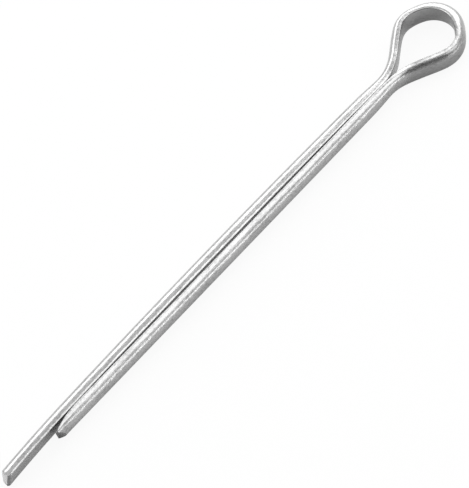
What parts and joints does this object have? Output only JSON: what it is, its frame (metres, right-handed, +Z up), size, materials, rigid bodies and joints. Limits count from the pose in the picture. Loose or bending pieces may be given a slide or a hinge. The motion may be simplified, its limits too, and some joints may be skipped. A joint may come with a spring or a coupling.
{
  "type": "cotter pin",
  "caption": "Split pin of half-round steel wire with an open eye and one longer leg; it goes through a cross-drilled hole and its tips are bent apart to lock it.",
  "frame": {"origin": "on the axis of the shank, where the long leg leaves its neck bend, under the eye", "axes": "+X along the shank from the eye to the tips, +Z up from the flat loop of the eye, the short leg on the +Y side"},
  "size_m": [0.0835, 0.0095, 0.0028],
  "materials": {
    "wire": "bright zinc plate over drawn wire"
  },
  "bodies": {
    "root": {"cotter_pin": "wire"}
  },
  "joints": []
}
